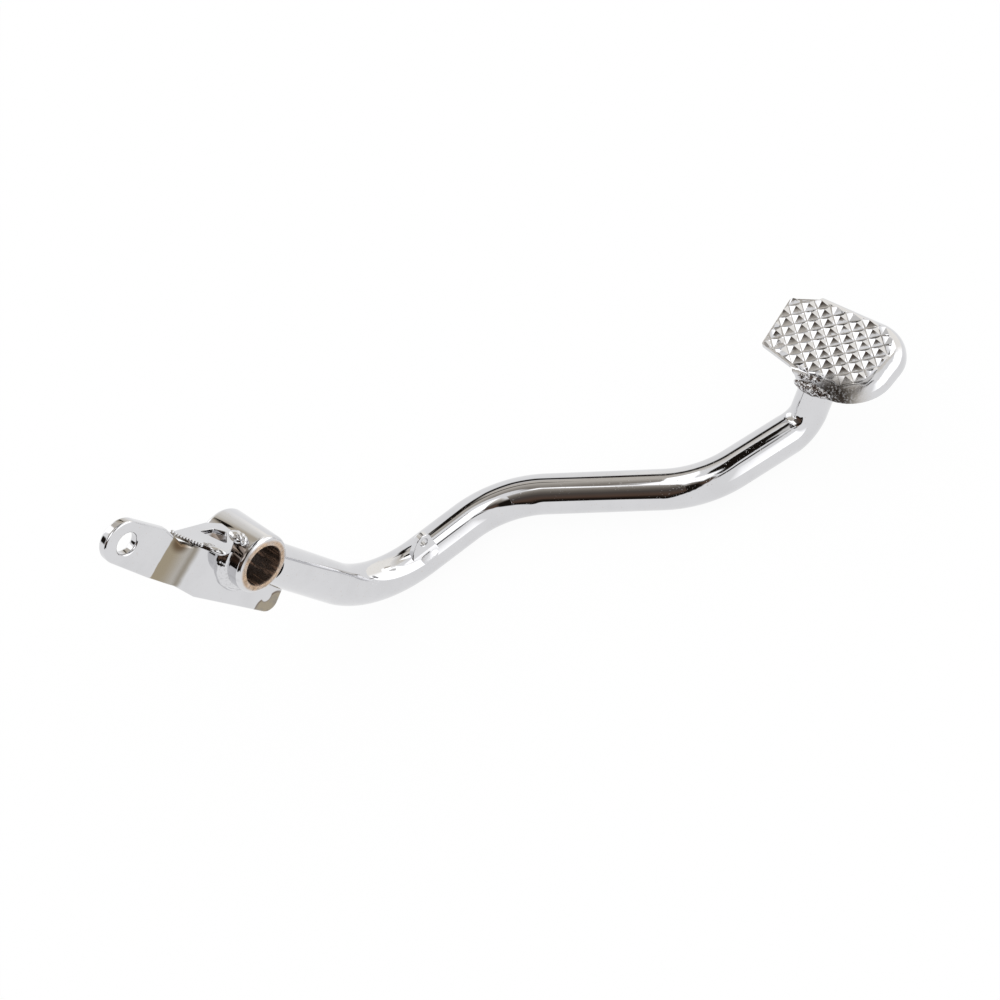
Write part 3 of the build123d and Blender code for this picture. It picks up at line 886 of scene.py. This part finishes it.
class PEDAL_OT_pad(bpy.types.Operator):
    """Press the pad's sheet and skirt, and cut its teeth."""
    bl_idname = "pedal.pad"
    bl_label = "Foot pad"

    def execute(self, context):
        size = context.scene.pedal_pad
        shape = bmesh.new()
        self.press(shape, size)
        self.teeth(shape, size)
        finish = pad_finish()
        add_sheet("foot_pad_knurled", shape, pad_matrix(), finish, "foot_pad", sharp=32)
        return {"FINISHED"}

    def press(self, shape, size):
        """Sheet with a rounded lip and a skirt on three sides, and a flat tongue."""
        skirt = rounded([(-17.3, 4.6, 0), (-17.3, -25.8, 17.0), (23.2, -25.8, 17.0), (23.2, 17.2, 0)], 14)
        tongue = rounded([(19.2, 17.6, 0), (14.4, 27.8, 1.5), (-10.6, 24.5, 1.0), (-14.4, 9.4, 0)], 4)
        verts = [shape.verts.new((p.x, p.y, 0)) for p in skirt + tongue]
        shape.faces.new(verts)
        shape.edges.ensure_lookup_table()
        rim = [shape.edges.get((verts[k], verts[k + 1])) for k in range(len(skirt) - 1)]
        made = bmesh.ops.extrude_edge_only(shape, edges=rim)["geom"]
        bmesh.ops.translate(shape, verts=only(BMVert, made), vec=(0, 0, -size.skirt))
        soften(shape, rim, size.lip, 9)
        bmesh.ops.recalc_face_normals(shape, faces=shape.faces)
        bmesh.ops.solidify(shape, geom=shape.faces[:], thickness=size.sheet)

    def teeth(self, shape, size):
        """Pyramids on a diagonal lattice, trimmed to the knurled field."""
        field = [
            (19.0, 16.5), (13.7, 27.1), (-9.9, 23.8), (-14.5, 4.6), (-14.5, -12.5), (-9.5, -18.5), (0, -20.6),
            (8.0, -20.6), (15.0, -17.5), (19.0, -11.0),
        ]
        borders = []
        for a, b in zip(field[-1:] + field, field):
            borders.append((Vector((*a, 0)), Vector((b[1] - a[1], a[0] - b[0], 0)).normalized()))
        shift_u = 1.27 * MM
        shift_v = 0.88 * MM
        beyond_field = 3.2
        worn_border = -2.6
        knurl = bmesh.new()
        chance = Random(7)
        lattice = range(-9, 10)
        for i in lattice:
            for j in lattice:
                u = (i + 0.5) * size.pitch + shift_u
                v = (j + 0.5) * size.pitch + shift_v
                centre = Vector(((u - v) / sqrt(2), (u + v) / sqrt(2), 0))
                outside = max((centre / MM - corner).dot(away) for corner, away in borders)
                if outside > beyond_field:
                    continue
                worn = outside > worn_border
                tall = size.tooth * (chance.uniform(0.72, 0.92) if worn else chance.uniform(0.93, 1.0))
                place = Matrix.Translation(centre - UP * 0.05 * MM)
                sway = 0.1 if worn else 0.01
                tilt = Matrix.Rotation(chance.uniform(-sway, sway), 4, "X")
                tilt = tilt @ Matrix.Rotation(chance.uniform(-sway, sway), 4, "Y")
                self.tooth(knurl, place @ tilt, size, tall)
        for corner, away in borders:
            cut = slice_through(knurl, corner * MM, away, clear=True)
            bmesh.ops.holes_fill(knurl, edges=cut, sides=0)
        soft = 0.1 * MM
        crisp = [
            edge for edge in knurl.edges
            if max(v.co.z for v in edge.verts) > soft and edge.calc_face_angle(0) > radians(20)
        ]
        soften(knurl, crisp, soft, 2, clamp=True)
        spare = bpy.data.meshes.new("teeth")
        knurl.to_mesh(spare)
        knurl.free()
        shape.from_mesh(spare)
        bpy.data.meshes.remove(spare)

    def tooth(self, knurl, place, size, tall):
        """One pyramid whose flanks steepen towards its flat tip."""
        base = (size.pitch - 0.2 * MM) / sqrt(2)
        waist = 0.58 * base
        low = 0.375 * tall
        verts = bmesh.ops.create_cone(
            knurl, cap_ends=True, segments=4, radius1=base, radius2=waist, depth=low,
            matrix=Matrix.Translation(UP * low / 2),
        )["verts"]
        faces = {face for vert in verts for face in vert.link_faces}
        cap = max(faces, key=lambda face: face.calc_center_median().z)
        crown = bmesh.ops.extrude_discrete_faces(knurl, faces=[cap])["faces"][0]
        narrow = size.tip / sqrt(2) / waist
        bmesh.ops.scale(knurl, vec=(narrow, narrow, 1), verts=crown.verts)
        bmesh.ops.translate(knurl, vec=UP * (tall - low), verts=crown.verts)
        bmesh.ops.transform(knurl, matrix=place, verts=list(verts) + list(crown.verts))


class PEDAL_OT_welds(bpy.types.Operator):
    """Lay the weld beads."""
    bl_idname = "pedal.welds"
    bl_label = "Weld beads"

    def execute(self, context):
        smooth = weld_finish("weld_bright", 0.05 * MM, 0.15)
        soft = chrome_finish("weld_hazy", haze=0.3)
        rough = weld_finish("weld_pitted", 0.3 * MM, 0.95)
        self.collar(context, smooth)
        self.tab_bead(context, smooth)
        self.lug_bead(soft)
        self.pad_bead(rough)
        return {"FINISHED"}

    def tab_bead(self, context, material):
        """Lumps that join the tab to the sleeve."""
        up = radians(97)
        proud = 0.8
        radius = context.scene.pedal_sleeve.radius / MM + proud
        at = Vector((radius * cos(up), -3.9, radius * sin(up)))
        shape = bmesh.new()
        self.lump(shape, Matrix.Translation(at * MM), (2.3, 3.6, 2.3))
        for along, out, size in ((-3.2, 0.9, 1.5), (-1.6, 1.5, 1.3), (0.4, 1.2, 1.4), (-4.0, -0.2, 1.2)):
            place = Matrix.Translation((at + Vector((out * 0.9, along, out * 0.25))) * MM)
            self.lump(shape, place, (size, size, size))
        self.lay("tab_weld_bead", shape, 0.1, material, "tab_weld")

    def lug_bead(self, material):
        """Low bead round the lug's flared foot."""
        direction = heading(SECOND_YAW)
        outward = direction.cross(UP)
        lean = (outward * 0.75 + UP * 0.66).normalized()
        at = ARM_CORNERS[1] + direction * 25.6 + lean * 6.8
        shape = bmesh.new()
        self.lump(shape, frame_matrix(at * MM, direction, lean), (6.6, 3.2, 1.55))
        self.lay("lug_weld_bead", shape, 0.03, material, "lug_weld")

    def pad_bead(self, material):
        """Pitted weld under the pad's rear lip, spattered up onto it."""
        shape = bmesh.new()
        for at, lean, half in (
            ((-16.9, -2.0, -5.0), (-1, 0, 0), (8.0, 2.6, 2.6)),
            ((-14.6, -2.2, -2.7), (-0.75, 0, 0.66), (8.2, 3.6, 1.3)),
            ((-14.1, 2.0, -1.7), (-0.5, 0, 0.87), (6.2, 2.7, 1.35)),
        ):
            slant = frame_matrix(Vector(at) * MM, INBOARD, Vector(lean).normalized())
            self.lump(shape, pad_matrix() @ slant, half)
        self.lay("pad_weld_bead", shape, 0.4, material, "pad_weld")

    def lump(self, shape, place, half):
        """An ellipsoid of weld metal, from its half sizes in millimetres."""
        form = Matrix.Diagonal((half[0] * MM, half[1] * MM, half[2] * MM, 1))
        bmesh.ops.create_icosphere(shape, subdivisions=5, radius=1.0, matrix=place @ form)

    def lay(self, name, shape, lumps, material, node):
        """Roughens a bead and adds it."""
        wobble(shape, 420, lumps * MM)
        wobble(shape, 1300, lumps * 0.5 * MM)
        add_piece(name, shape, material, node, sharp=180)

    def collar(self, context, material):
        """Rippled fillet weld round the sleeve on the plate's outer face."""
        sleeve = context.scene.pedal_sleeve
        face = context.scene.pedal_plate.face
        leg = sleeve.weld_leg
        shape = bmesh.new()
        steps = 12
        sunk = 0.1 * MM
        points = []
        for k in range(steps + 1):
            a = pi / 2 * k / steps
            bulge = leg * (0.86 + 0.14 * abs(cos(2 * a)))
            points.append((sleeve.radius - sunk + bulge * sin(a), face + sunk - bulge * cos(a)))
        fillet = profile(shape, points, closed=False)
        begin = Matrix.Rotation(-sleeve.weld_from, 3, "Y")
        bmesh.ops.rotate(shape, cent=(0, 0, 0), matrix=begin, verts=shape.verts)
        bmesh.ops.spin(
            shape, geom=fillet, cent=(0, 0, 0), axis=INBOARD, angle=sleeve.weld_from - sleeve.weld_to,
            steps=140, use_merge=False,
        )
        bmesh.ops.recalc_face_normals(shape, faces=shape.faces)
        wobble(shape, 260, 0.3 * MM)
        wobble(shape, 800, 0.06 * MM)
        add_piece("sleeve_weld_bead", shape, material, "sleeve_weld", sharp=180)


# Glow of the studio's cloths, over 1 where one is lit as a lamp

BRIGHT = (2.4, 2.4, 2.4)
WHITE = (1.75, 1.75, 1.75)
CREAM = (1.14, 1.11, 1.05)
PALE = (0.96, 0.94, 0.90)
LINEN = (0.82, 0.78, 0.71)
WARM = (0.80, 0.77, 0.71)
CHALK = (0.75, 0.74, 0.72)
GREY = (0.64, 0.60, 0.54)
TAN = (0.55, 0.49, 0.40)
FOG = (0.42, 0.39, 0.35)
TAUPE = (0.26, 0.235, 0.205)
STONE = (0.16, 0.14, 0.12)
BROWN = (0.105, 0.066, 0.047)
UMBER = (0.085, 0.072, 0.064)

# Points that the cloths hang round, in millimetres, and how far off most of them hang, in metres

ROD_EYE = (-36, 0, 43)
TAB_EDGE = (-14, -3, 22)
SLEEVE_TOP = (0, 0, 8)
FIRST_BEND = ARM_CORNERS[1] + Vector((21, -1, 4))
LUG_FOOT = ARM_CORNERS[1].lerp(ARM_CORNERS[2], 0.7)
SLANT = ARM_CORNERS[2].lerp(ARM_CORNERS[3], 0.5)
THIRD_BEND = ARM_CORNERS[3] + Vector((-11, 16, 6))
LAST_RUN = ARM_CORNERS[3].lerp(ARM_CORNERS[4], 0.45)
FAR = 1.5
NEAR = 0.75


class PEDAL_OT_stage(bpy.types.Operator):
    """Set the floor, the lights, the dark cards and the camera."""
    bl_idname = "pedal.stage"
    bl_label = "Studio"

    def execute(self, context):
        self.world(context)
        self.floor(context)
        cloth = self.cloth()
        black = tuple(context.scene.pedal_stage.card)
        self.plain_cloths(cloth, black)
        self.softboxes(cloth)
        self.cards(cloth, black)
        self.bars(cloth, black)
        self.camera(context)
        context.scene.view_settings.view_transform = "Standard"
        return {"FINISHED"}

    def world(self, context):
        """White all round."""
        world = bpy.data.worlds.new("white_tent")
        context.scene.world = world
        graph = Graph(world)
        light = graph.node("ShaderNodeBackground", None, {"Color": (1, 1, 1, 1), "Strength": 1.0})
        graph.node("ShaderNodeOutputWorld", None, {"Surface": light})

    def floor(self, context):
        """White paper that keeps a faint shadow."""
        shape = bmesh.new()
        bmesh.ops.create_grid(shape, x_segments=1, y_segments=1, size=3.0)
        bmesh.ops.translate(shape, verts=shape.verts, vec=(0, 0, CAD_BOX[0][2] - 0.0005))
        material = bpy.data.materials.new("paper")
        graph = Graph(material)
        path = graph.outputs("ShaderNodeLightPath")
        shown = path["Is Camera Ray"].larger(path["Is Glossy Ray"]).larger(path["Is Transmission Ray"])
        paper = graph.node("ShaderNodeBsdfDiffuse", None, {"Color": rgb(context.scene.pedal_stage.floor)})
        graph.show(graph.blend(shown * 0.93, paper, graph.glow((1, 1, 1, 1))))
        self.stand("paper_floor", shape, material)

    def stand(self, name, shape, material, camera=True):
        """Adds a piece of the studio."""
        item = new_object(name, shape, material)
        item.visible_camera = camera
        item.visible_shadow = camera
        item.visible_diffuse = camera

    def cloth(self):
        """Cloth whose glow and cover are painted on its corners."""
        material = bpy.data.materials.new("tent_cloth")
        graph = Graph(material)
        paint = graph.outputs("ShaderNodeAttribute", {"attribute_name": "paint"})
        clear = graph.node("ShaderNodeBsdfTransparent")
        graph.show(graph.blend(paint["Alpha"], clear, graph.glow(paint["Color"])))
        return material

    def hang(self, name, material, eye, distance, rows, ends=(0.0, 0.0)):
        """Hangs a cloth seen from an eye point: rows of directions, each with its glow and its cover."""
        shape = bmesh.new()
        wide = len(rows[0][2])
        bmesh.ops.create_grid(shape, x_segments=wide - 1, y_segments=len(rows) - 1, size=1.0)
        paint = shape.verts.layers.float_color.new("paint")
        corners = sorted(shape.verts, key=lambda vert: (round(vert.co.y, 4), vert.co.x))
        for index, vert in enumerate(corners):
            glow, cover, directions = rows[index // wide]
            azimuth, elevation = directions[index % wide]
            vert.co = self.towards(eye, azimuth, elevation, distance)
            fade = {0: ends[0], wide - 1: ends[1]}.get(index % wide, 1.0)
            vert[paint] = (glow[0], glow[1], glow[2], cover * fade)
        self.stand(name, shape, material, camera=False)

    def towards(self, eye, azimuth, elevation, distance):
        """A point seen from an eye point, in degrees from forward towards inboard and from level up."""
        level = cos(radians(elevation))
        away = Vector((level * cos(radians(azimuth)), level * sin(radians(azimuth)), sin(radians(elevation))))
        return Vector(eye) * MM + away * distance

    def even(self, azimuths, *bands):
        """Rows of a cloth at even heights, each with its glow, cover and elevation."""
        return self.along([(azimuth, 0) for azimuth in azimuths], *bands)

    def along(self, line, *bands):
        """Rows of a cloth that follow a line of directions, each with its glow, cover and rise above it."""
        return [(glow, cover, [(a, e + rise) for a, e in line]) for glow, cover, rise in bands]

    def plain_cloths(self, cloth, black):
        """Cloths of one glow that fade out above and below."""
        front = (338, 350, 375, 396, 408)
        for name, eye, distance, glow, azimuths, levels in (
            ("softbox_front", PART_MIDDLE, FAR, CREAM, front, (-34, -20, 30, 37)),
            ("linen_front", PART_MIDDLE, FAR, LINEN, front, (31, 43, 50, 64)),
            ("softbox_teeth", PART_MIDDLE, FAR - 0.05, WHITE, (336, 344, 360, 376, 384), (-16, -8, 19, 27)),
            ("softbox_inboard", PART_MIDDLE, FAR, WHITE, (70, 78, 94, 110, 118), (0, 8, 30, 36)),
            ("softbox_pad", PAD_CENTRE, 0.2, BRIGHT, (-14, -8, 10, 24, 28), (29, 34, 48, 53)),
            ("linen_pad", PAD_CENTRE, 0.1, CHALK, (272, 282, 320, 356, 366), (58, 63, 81, 85)),
            ("grey_pad", PAD_CENTRE, 0.15, GREY, (26, 31, 40, 49, 54), (36, 40, 54, 58)),
            ("card_lug", LUG_FOOT, 0.2, WHITE, (283, 289, 299, 309, 316), (42, 46, 63, 69)),
            ("card_tab", TAB_EDGE, 0.12, WHITE, (192, 200, 218, 236, 246), (33, 38, 66, 71)),
            ("gap_eye", ROD_EYE, 0.12, black, (126, 131, 138, 147, 153), (8, 13, 30, 36)),
            ("lamp_eye", ROD_EYE, 0.12, WHITE, (74, 84, 98, 114, 122), (24, 31, 60, 66)),
        ):
            bands = [(glow, cover, level) for cover, level in zip((0, 1, 1, 0), levels)]
            self.hang(name, cloth, eye, distance, self.even(azimuths, *bands))

    def softboxes(self, cloth):
        """Bright cloths to the right and over the third bend, and a pale streak."""
        below = self.even((262, 279, 318, 338, 348), (WHITE, 0, -32), (WHITE, 0.6, -14), (WHITE, 1, 2))
        above = self.even((277, 294, 318, 338, 348), (WHITE, 1, 35.5), (WHITE, 0, 38.5))
        self.hang("softbox_right", cloth, PART_MIDDLE, FAR, below + above)
        left = [(46, 64), (60, 79), (150, 83), (174, 78), (214, 75.5), (238, 65)]
        right = [(34, 58), (6, 76), (318, 81.5), (286, 79), (270, 72), (262, 65)]
        rows = self.along(left, (WHITE, 0, -1.5), (WHITE, 1, 0))
        rows += self.along(right, (WHITE, 1, 0), (WHITE, 0, -1))
        self.hang("lamp_bar", cloth, THIRD_BEND, 0.21, rows, ends=(1.0, 1.0))
        rows = self.even(
            (140, 152, 166, 180, 190), (GREY, 0, 75), (WHITE, 1, 76.5), (WHITE, 1, 78.5), (GREY, 0, 80.5)
        )
        self.hang("light_streak", cloth, SLANT, NEAR - 0.02, rows)

    def cards(self, cloth, black):
        """Dark cloths behind the camera, and grey ones inboard and beside the sleeve."""
        foot = [(168, 10), (184, 8), (200, 11), (209, 6), (215, -2), (223, 8), (233, 20)]
        sides = [direction[0] for direction in foot]
        rows = self.along(foot, (black, 0, -2), (black, 1, 0), (black, 1, 9))
        rows.append((BROWN, 1, [(a, max(e + 12, 26)) for a, e in foot]))
        rows += self.even(sides, (UMBER, 1, 46), (STONE, 1, 58), (TAUPE, 1, 66), (FOG, 1, 73), (FOG, 0, 78))
        self.hang("dark_behind", cloth, SLANT, NEAR, rows, ends=(1.0, 1.0))
        foot = [(233, 20), (238, 26), (242, 31), (245, 35), (250, 40)]
        sides = [direction[0] for direction in foot]
        rows = self.along(foot, (black, 0, -4), (black, 1, 0))
        rows += self.even(sides, (black, 1, 52), (STONE, 1, 57), (FOG, 0.5, 62), (FOG, 0, 68))
        self.hang("dark_camera", cloth, SLANT, NEAR, rows, ends=(1.0, 0.0))
        foot = [(236, 32), (243, 36), (248, 40), (253, 43), (258, 48), (264, 53), (270, 56)]
        sides = [direction[0] for direction in foot]
        rows = self.along(foot, (BROWN, 0, -3), (BROWN, 1, 0))
        for glow, rise, lowest in ((BROWN, 1, 51), (UMBER, 3, 57)):
            rows.append((glow, 1, [(a, max(e + rise, lowest)) for a, e in foot]))
        rows += self.even(sides, (STONE, 1, 61), (FOG, 1, 66), (GREY, 1, 71), (GREY, 0, 79))
        self.hang("stone_camera", cloth, SLANT, NEAR + 0.01, rows)
        rows = self.even(
            (36, 44, 58, 72, 90, 120, 150, 186), (GREY, 0, 40), (GREY, 1, 46), (GREY, 1, 62), (FOG, 1, 74),
            (TAUPE, 1, 82), (TAUPE, 0, 85),
        )
        self.hang("grey_inboard", cloth, SLANT, NEAR + 0.02, rows)
        rows = self.even(
            (22, 30, 44, 60, 76, 84), (PALE, 0, 6), (PALE, 1, 16), (WARM, 1, 32), (TAN, 1, 40), (TAN, 1, 50),
            (WARM, 1, 62), (WARM, 0, 70),
        )
        self.hang("warm_sleeve", cloth, SLEEVE_TOP, 0.12, rows)

    def bars(self, cloth, black):
        """Narrow dark cloths, each along a line."""
        line = [(252, 48), (262, 51.5), (272, 54), (281, 55.5), (291, 56), (302, 58)]
        rows = self.along(line, (BROWN, 0, -4.5), (black, 1, -1.5), (black, 1, 1.5), (black, 0, 3.5))
        self.hang("dark_line", cloth, LAST_RUN, NEAR, rows)
        left = [(31, 62.3), (23.6, 70.7), (9.7, 78.3), (320.6, 82.1), (282, 77.6), (270, 71.8), (266, 66.7)]
        right = [(24, 54), (10, 57), (0, 61), (338, 65), (308, 65.5), (284, 63.5), (270, 61)]
        rows = self.along(left, (black, 0, 1), (black, 1, 0))
        rows += self.along(right, (black, 1, 0), (black, 0, -1.5))
        self.hang("lamp_edge", cloth, LAST_RUN, 1.0, rows, ends=(1.0, 1.0))
        line = [(38, 37), (44, 39), (48, 38), (52, 34), (57, 33), (62, 38), (66, 44)]
        rows = self.along(line, (black, 0, -10), (black, 1, -4.5), (black, 1, 4.5), (BROWN, 0, 10))
        self.hang("dark_inboard", cloth, SLANT, NEAR, rows)
        line = [(61, 36), (62, 41), (62.5, 47), (61.5, 53), (59, 59), (56, 63)]
        self.hang("dark_rise", cloth, SLANT, NEAR - 0.01, [
            (black, cover, [(a + shift, e) for a, e in line])
            for cover, shift in ((0, -1.5), (1, 0), (1, 4.5), (0, 6))
        ])
        line = [(11, 46), (19, 46), (26, 44.5), (33, 42), (41, 39)]
        rows = self.along(line, (BROWN, 0, -3), (UMBER, 1, 0), (GREY, 0, 4))
        self.hang("dark_seam", cloth, FIRST_BEND, 1.2, rows)
        wedge = [(53, 42, 0.4), (57, 42, 1.2), (61, 42, 2.2), (67, 42.5, 3.2), (76, 43, 4)]
        self.hang("gap_sleeve", cloth, SLEEVE_TOP, 0.115, [
            (black, cover, [(a, e + side * (half + fringe)) for a, e, half in wedge])
            for cover, side, fringe in ((0, -1, 1.2), (1, -1, 0), (1, 1, 0), (0, 1, 1.2))
        ])

    def camera(self, context):
        """The camera stands where the photograph was taken from."""
        data = bpy.data.cameras.new("camera")
        data.angle = context.scene.pedal_stage.view
        data.clip_start = 0.01
        camera = bpy.data.objects.new("camera", data)
        place = Vector((-185.7, -424.8, 531.1)) * MM
        right = Vector((0.6629, -0.7268, -0.1798)).normalized()
        back = Vector((-0.3675, -0.5251, 0.7676)).normalized()
        camera.matrix_world = frame_matrix(place, right, back)
        context.scene.collection.objects.link(camera)
        context.scene.camera = camera


OPERATORS = [
    PEDAL_OT_sleeve, PEDAL_OT_plate, PEDAL_OT_tab, PEDAL_OT_arm, PEDAL_OT_lug, PEDAL_OT_pad, PEDAL_OT_welds,
    PEDAL_OT_stage,
]


class PEDAL_PT_panel(bpy.types.Panel):
    """Lists the pedal's pieces and their settings."""
    bl_idname = "PEDAL_PT_panel"
    bl_label = "Rear brake pedal"
    bl_space_type = "VIEW_3D"
    bl_region_type = "UI"
    bl_category = "Pedal"

    def draw(self, context):
        for operator in OPERATORS:
            self.layout.operator(operator.bl_idname)
        for name, group in SETTINGS.items():
            box = self.layout.box()
            for prop in group.__annotations__:
                box.prop(getattr(context.scene, name), prop)


def register():
    for name, group in SETTINGS.items():
        bpy.utils.register_class(group)
        setattr(bpy.types.Scene, name, PointerProperty(type=group))
    for item in OPERATORS + [PEDAL_PT_panel]:
        bpy.utils.register_class(item)


def unregister():
    for item in [PEDAL_PT_panel] + OPERATORS[::-1]:
        bpy.utils.unregister_class(item)
    for name, group in SETTINGS.items():
        delattr(bpy.types.Scene, name)
        bpy.utils.unregister_class(group)


def main():
    register()
    for operator in OPERATORS:
        group, name = operator.bl_idname.split(".")
        getattr(getattr(bpy.ops, group), name)()


if __name__ == "__main__":
    main()
